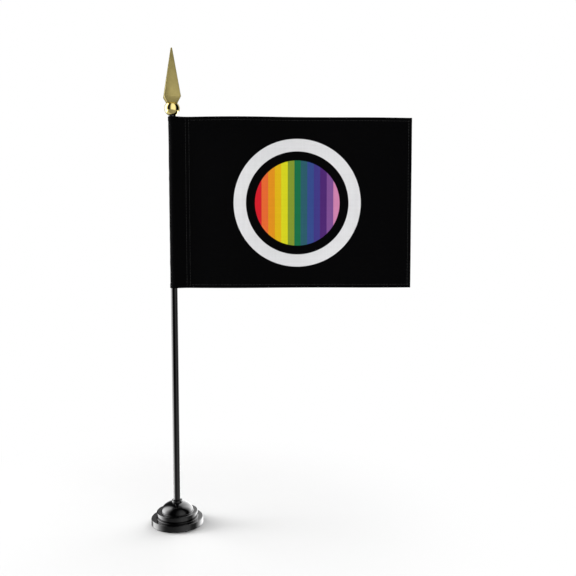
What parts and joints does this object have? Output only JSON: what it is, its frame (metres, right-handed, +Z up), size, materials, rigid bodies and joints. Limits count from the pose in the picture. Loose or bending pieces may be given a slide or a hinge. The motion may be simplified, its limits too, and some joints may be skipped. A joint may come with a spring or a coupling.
{
  "type": "desk flag stand",
  "caption": "Desk flag stand: a stepped, weighted round base, a push-in staff that turns in its socket, a sleeved cloth flag that swivels on it, and a lift-off ball and spear finial.",
  "frame": {"origin": "centre of the foot pad's underside, on the staff's axis, where the stand rests on the table", "axes": "+Z up along the staff, +X along the flag towards its fly edge, +Y away from the side that the stand is looked at from"},
  "size_m": [0.2377, 0.0474, 0.4314],
  "materials": {
    "black_moulding": "gloss",
    "lid_plastic": "matte",
    "ballast_steel": "satin",
    "pad_foam": "matte",
    "staff_lacquer": "gloss",
    "flag_fabric": "matte",
    "sewing_thread": "matte",
    "polished_gold": "polished",
    "dowel_steel": "satin",
    "satin_gold": "satin"
  },
  "bodies": {
    "base": {"base_shell": "black_moulding", "base_lid": "lid_plastic", "ballast_ring": "ballast_steel", "foot_pad": "pad_foam"},
    "bush": {"grip_bush": "black_moulding"},
    "staff": {"staff_rod": "staff_lacquer"},
    "flag": {"flag_cloth": "flag_fabric", "hoist_thread": "sewing_thread", "hem_thread": "sewing_thread"},
    "finial": {"finial_ball": "polished_gold", "spear_dowel": "dowel_steel", "spear_head": "satin_gold"}
  },
  "joints": [
    {"name": "staff_turn", "type": "hinge", "parent": "base", "child": "bush", "pos_m": [0, 0, 0.02], "axis": [0, 0, 1], "continuous": true},
    {"name": "staff_lift", "type": "slide", "parent": "bush", "child": "staff", "axis": [0, 0, 1], "range_m": [0, 0.016]},
    {"name": "flag_swivel", "type": "hinge", "parent": "staff", "child": "flag", "pos_m": [0, 0, 0.295], "axis": [0, 0, 1], "continuous": true},
    {"name": "finial_lift", "type": "slide", "parent": "staff", "child": "finial", "axis": [0, 0, 1], "range_m": [0, 0.0065]}
  ]
}
